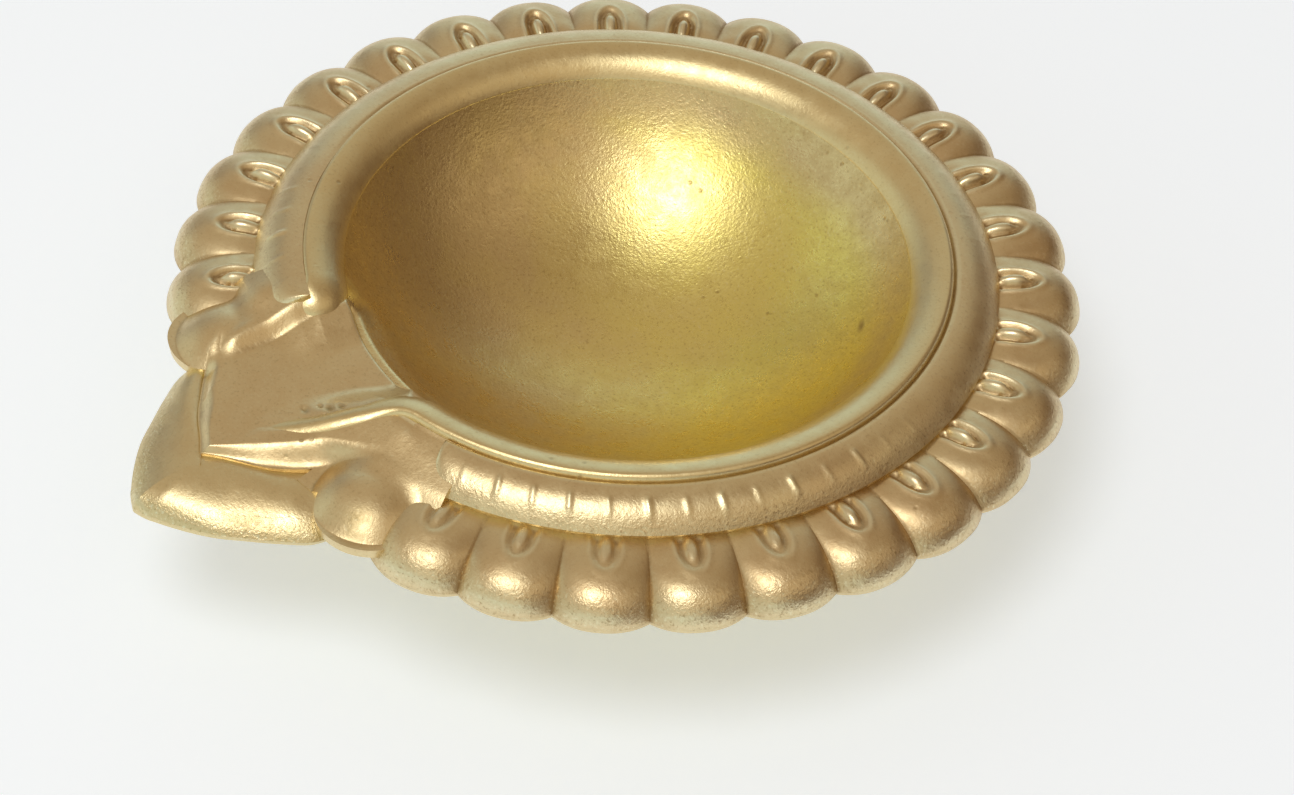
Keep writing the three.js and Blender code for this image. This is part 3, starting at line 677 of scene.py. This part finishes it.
spout_brass = brass("spout brass", SPOUT_TONES, *CAST_FINISH)
for side, word in ((1, "right"), (-1, "left")):
    shoulder_angle = np.linspace(SHOULDER_START, SHOULDER_STOP, 166)[:, None]
    outward = np.sin(np.linspace(0, 1, 120) * np.pi / 2)
    shoulder_radius = SHOULDER_INNER + (shoulder_edge(shoulder_angle) - SHOULDER_INNER) * outward
    along = shoulder_radius * np.cos(shoulder_angle)
    across = side * shoulder_radius * np.sin(shoulder_angle)
    under_channel = 1 - soft_step(-0.35, 0.0, np.abs(across) - channel_edge(word, along))
    shoulder_drop = spout_drop(along, across) + SHOULDER_TUCK * under_channel
    underside = np.maximum(shoulder_drop[:, ::12] + SHOULDER_THICKNESS, SHOULDER_UNDERSIDE)
    from_stain = np.hypot(along - BALL_STAIN_ALONG, across - BALL_STAIN_ACROSS)
    stain = 0.95 * bump(0, BALL_STAIN_SIZE, from_stain) * (word == "right")
    shoulder = plate(f"spout_shoulder_{word}_relief", on_spout(along, across, shoulder_drop),
                     on_spout(along[:, ::12], across[:, ::12], underside), reach=(5, 5), stain=stain,
                     grainy=0.15 + 0.85 * soft_step(3.9, 4.9, shoulder_drop))
    shoulder.data.materials.append(spout_brass)
    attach(shoulder, "root")
    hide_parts(f"spout_shoulder_{word}")


# ---------------------------------------------------------------------------------------------------
# Spout channel: the middle of the carved surface, a raised ledge with a V-shaped edge, and in it the
# shallow trough that the wick lies in. It is a separate plate that ends in the bowl's mouth.

MOUTH_RADIUS = 24.38
MOUTH_EDGE = [(24.38, 1.9), (24.42, 0.9), (24.5, 0.4), (24.62, 0.14), (24.8, 0.03), (25.0, 0.0)]
CHANNEL_END = 42.4
CHANNEL_THICKNESS, CHANNEL_UNDERSIDE = 0.5, 4.7
CHANNEL_OVERLAP = 0.05

mouth_rows = np.linspace(MOUTH_RADIUS, 25.1, 16)
channel_rows = np.concatenate([mouth_rows, np.linspace(25.2, CHANNEL_END, 190)])[:, None]
right_side = channel_edge("right", channel_rows) + CHANNEL_OVERLAP
left_side = -channel_edge("left", channel_rows) - CHANNEL_OVERLAP
right_side = np.maximum(right_side, left_side + 2 * CHANNEL_OVERLAP)
channel_across = left_side + (right_side - left_side) * np.linspace(0, 1, 261)[None, :]
mouth_curve = MOUTH_RADIUS - np.sqrt(MOUTH_RADIUS ** 2 - np.minimum(np.abs(channel_across), 11) ** 2)
channel_along = channel_rows - mouth_curve * (1 - soft_step(25, 31, channel_rows))
channel_drop = spout_drop(channel_along, channel_across) + curve_through(MOUTH_EDGE, channel_rows)
channel = plate("spout_channel_relief", on_spout(channel_along, channel_across, channel_drop),
                on_spout(channel_along[:, ::13], channel_across[:, ::13],
                         np.maximum(channel_drop[:, ::13] + CHANNEL_THICKNESS, CHANNEL_UNDERSIDE)),
                reach=(5, 5), grainy=0.15, stain=0.9 * pit_marks(channel_along, channel_across))
channel.data.materials.append(spout_brass)
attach(channel, "root")
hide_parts("spout_channel")


# ---------------------------------------------------------------------------------------------------
# Spout leaf: the pointed plate under the channel. Its border is flat beside the channel's foot, then
# rolls down over a convex slope to a thin rounded edge, where the sand-cast skin was left rough.

SPOUT_TIP = -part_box("spout_leaf")[0][1] / MM
LEAF_OUTLINE = [(32.0, 11.0), (36.5, 11.3), (38.1, 11.0), (40.3, 9.5), (42.5, 7.7), (44.5, 5.95),
                (46.2, 3.9), (47.4, 2.15), (48.1, 0.95), (SPOUT_TIP, 0.1)]
LEAF_PROFILE = [(0.0, 4.42), (0.07, 4.28), (0.16, 4.16), (0.3, 4.08), (0.43, 4.1), (0.6, 4.3),
                (0.75, 4.65), (0.86, 5.05), (0.95, 5.5), (1.0, 5.85)]
LEAF_FOOT = {"right": V_FOOT["right"] + [(49.0, -6.0)], "left": V_FOOT["left"] + [(49.0, -10.0)]}
LEAF_UNDERSIDE, LEAF_UNDER_CHANNEL, LEAF_TIP_RISE = 6.35, 0.15, 0.5
LEAF_TONES = ((0.8, 0.67, 0.38), (0.74, 0.57, 0.3), (0.5, 0.42, 0.2), (0.86, 0.82, 0.55))

leaf_along = np.linspace(LEAF_OUTLINE[0][0], SPOUT_TIP, 190)[:, None]
leaf_half = curve_through(LEAF_OUTLINE, leaf_along)
leaf_across = leaf_half * np.linspace(-1, 1, 261)[None, :]
past_right = leaf_across - curve_through(LEAF_FOOT["right"], leaf_along) + LEAF_UNDER_CHANNEL
past_left = -leaf_across - curve_through(LEAF_FOOT["left"], leaf_along) + LEAF_UNDER_CHANNEL
past_foot = np.clip(lower_of(past_right, past_left, 0.6), 0, None)
inside_edge = leaf_half - np.abs(leaf_across)
leaf_share = past_foot / (past_foot + inside_edge + 1e-6)
tip_rise = LEAF_TIP_RISE * soft_step(36, 41, leaf_along) * (1 - leaf_share) ** 2
leaf_drop = curve_through(LEAF_PROFILE, leaf_share) - tip_rise
leaf = plate("spout_leaf_relief", on_spout(leaf_along, leaf_across, leaf_drop),
             on_spout(leaf_along, leaf_across[:, ::13] * 0.98, LEAF_UNDERSIDE), reach=(6, 5),
             grainy=0.15 + 1.1 * soft_step(0.68, 0.86, leaf_share),
             stain=0.25 * soft_step(0.72, 0.84, leaf_share))
leaf.data.materials.append(brass("leaf brass", LEAF_TONES, *CAST_FINISH))
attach(leaf, "root")
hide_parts("spout_leaf")


# ---------------------------------------------------------------------------------------------------
# Studio: a pale floor, a room that is warm and dim above, and near the horizon dark behind and on the
# right, grey on the left, and pale in the far left corner and in front. One wide soft light hangs
# overhead, with a broad glow round it.

FLOOR_HALF = 3.0
FLOOR_PAINT, FLOOR_GLOW, FLOOR_GLOW_STRENGTH = (0.82, 0.86, 0.9, 1), (0.72, 0.79, 0.88, 1), 0.42
KEY_PLACE, KEY_SIZE, KEY_WATTS = (0.1, -0.285, 0.71), 0.36, 1.25
CEILING, DIM_CEILING, WARM_CEILING, GLOW = ((0.5, 0.41, 0.31, 1), (0.36, 0.27, 0.18, 1),
                                            (0.62, 0.5, 0.36, 1), (1.0, 1.02, 1.05, 1))
DARK_SIDE, PALE_SIDE, LEFT_SIDE, FRONT_SIDE = ((0.17, 0.11, 0.07, 1), (0.7, 0.82, 0.86, 1),
                                               (0.33, 0.31, 0.3, 1), (0.72, 0.78, 0.74, 1))

floor_mesh = bpy.data.meshes.new("floor")
floor_corners = np.array([(-1, -1, 0), (1, -1, 0), (1, 1, 0), (-1, 1, 0)]) * FLOOR_HALF
floor_mesh.from_pydata(floor_corners.tolist(), [], [(0, 1, 2, 3)])
floor = bpy.data.objects.new("floor", floor_mesh)
bpy.context.scene.collection.objects.link(floor)
floor_paint = bpy.data.materials.new("pale floor")
floor_paint.use_nodes = True
floor_shader = floor_paint.node_tree.nodes["Principled BSDF"].inputs
floor_shader["Base Color"].default_value = FLOOR_PAINT
floor_shader["Roughness"].default_value = 0.8
floor_shader["Specular IOR Level"].default_value = 0.1
floor_shader["Emission Color"].default_value = FLOOR_GLOW
floor_shader["Emission Strength"].default_value = FLOOR_GLOW_STRENGTH
floor_mesh.materials.append(floor_paint)

world = bpy.data.worlds.new("room")
world.use_nodes = True
room = world.node_tree
room.nodes.clear()
direction = add_node(room, "ShaderNodeTexCoord").outputs["Generated"]
split = add_node(room, "ShaderNodeSeparateXYZ", [("Vector", direction)]).outputs
left_wall = blend_colours(room, remap(room, split["Y"], 0.05, 0.5), LEFT_SIDE, PALE_SIDE)
back_wall = blend_colours(room, remap(room, split["X"], -0.2, -0.65), DARK_SIDE, left_wall)
walls = blend_colours(room, remap(room, split["Y"], 0.0, -0.5), back_wall, FRONT_SIDE)
ceiling = blend_colours(room, remap(room, split["X"], -0.45, 0.05), CEILING, DIM_CEILING)
ceiling = blend_colours(room, remap(room, split["X"], 0.2, 0.5), ceiling, WARM_CEILING)
room_colour = blend_colours(room, remap(room, split["Z"], 0.4, 0.66), walls, ceiling)
facing = np.array(KEY_PLACE) / np.linalg.norm(KEY_PLACE)
toward_key = add_node(room, "ShaderNodeVectorMath", [(0, direction), (1, tuple(facing))],
                      operation="DOT_PRODUCT").outputs["Value"]
room_colour = blend_colours(room, remap(room, toward_key, 0.9, 0.988), room_colour, GLOW)
room_light = add_node(room, "ShaderNodeBackground", [("Color", room_colour), ("Strength", 1.0)])
add_node(room, "ShaderNodeOutputWorld", [("Surface", room_light.outputs[0])])
bpy.context.scene.world = world

key = bpy.data.lights.new("key", "AREA")
key.shape = "DISK"
key.size = KEY_SIZE
key.energy = KEY_WATTS
key_holder = bpy.data.objects.new("key", key)
side = np.cross((0.0, 1.0, 0.0), facing)
side /= np.linalg.norm(side)
turn = np.stack([side, np.cross(facing, side), facing], 1)
key_holder.matrix_world = Matrix.Translation(KEY_PLACE) @ Matrix(turn.tolist()).to_4x4()
bpy.context.scene.collection.objects.link(key_holder)


# ---------------------------------------------------------------------------------------------------
# Camera: a long lens above the spout's right side, a little rolled, aimed at the middle of the rim.

CAMERA_AZIMUTH, CAMERA_ELEVATION, CAMERA_ROLL = np.radians((52.0, 44.51, 4.3))
CAMERA_DISTANCE = 0.283
AIM_RIGHT, AIM_UP = 0.00526, -0.04689
LENS = 91.8

toward = np.array([np.sin(CAMERA_AZIMUTH) * np.cos(CAMERA_ELEVATION),
                   -np.cos(CAMERA_AZIMUTH) * np.cos(CAMERA_ELEVATION), np.sin(CAMERA_ELEVATION)])
level = np.array([np.cos(CAMERA_AZIMUTH), np.sin(CAMERA_AZIMUTH), 0.0])
upright = np.cross(toward, level)
right = np.cos(CAMERA_ROLL) * level + np.sin(CAMERA_ROLL) * upright
above = np.cos(CAMERA_ROLL) * upright - np.sin(CAMERA_ROLL) * level
eye = np.array([0, 0, RIM_HEIGHT * MM]) + CAMERA_DISTANCE * (toward + AIM_RIGHT * right + AIM_UP * above)
camera_lens = bpy.data.cameras.new("camera")
camera_lens.lens = LENS
camera_lens.sensor_width = 36.0
camera_lens.clip_start = 0.01
camera = bpy.data.objects.new("camera", camera_lens)
camera_turn = Matrix(np.stack([right, above, toward], 1).tolist())
camera.matrix_world = Matrix.Translation(eye.tolist()) @ camera_turn.to_4x4()
bpy.context.scene.collection.objects.link(camera)
bpy.context.scene.camera = camera
bpy.context.scene.view_settings.view_transform = "Standard"
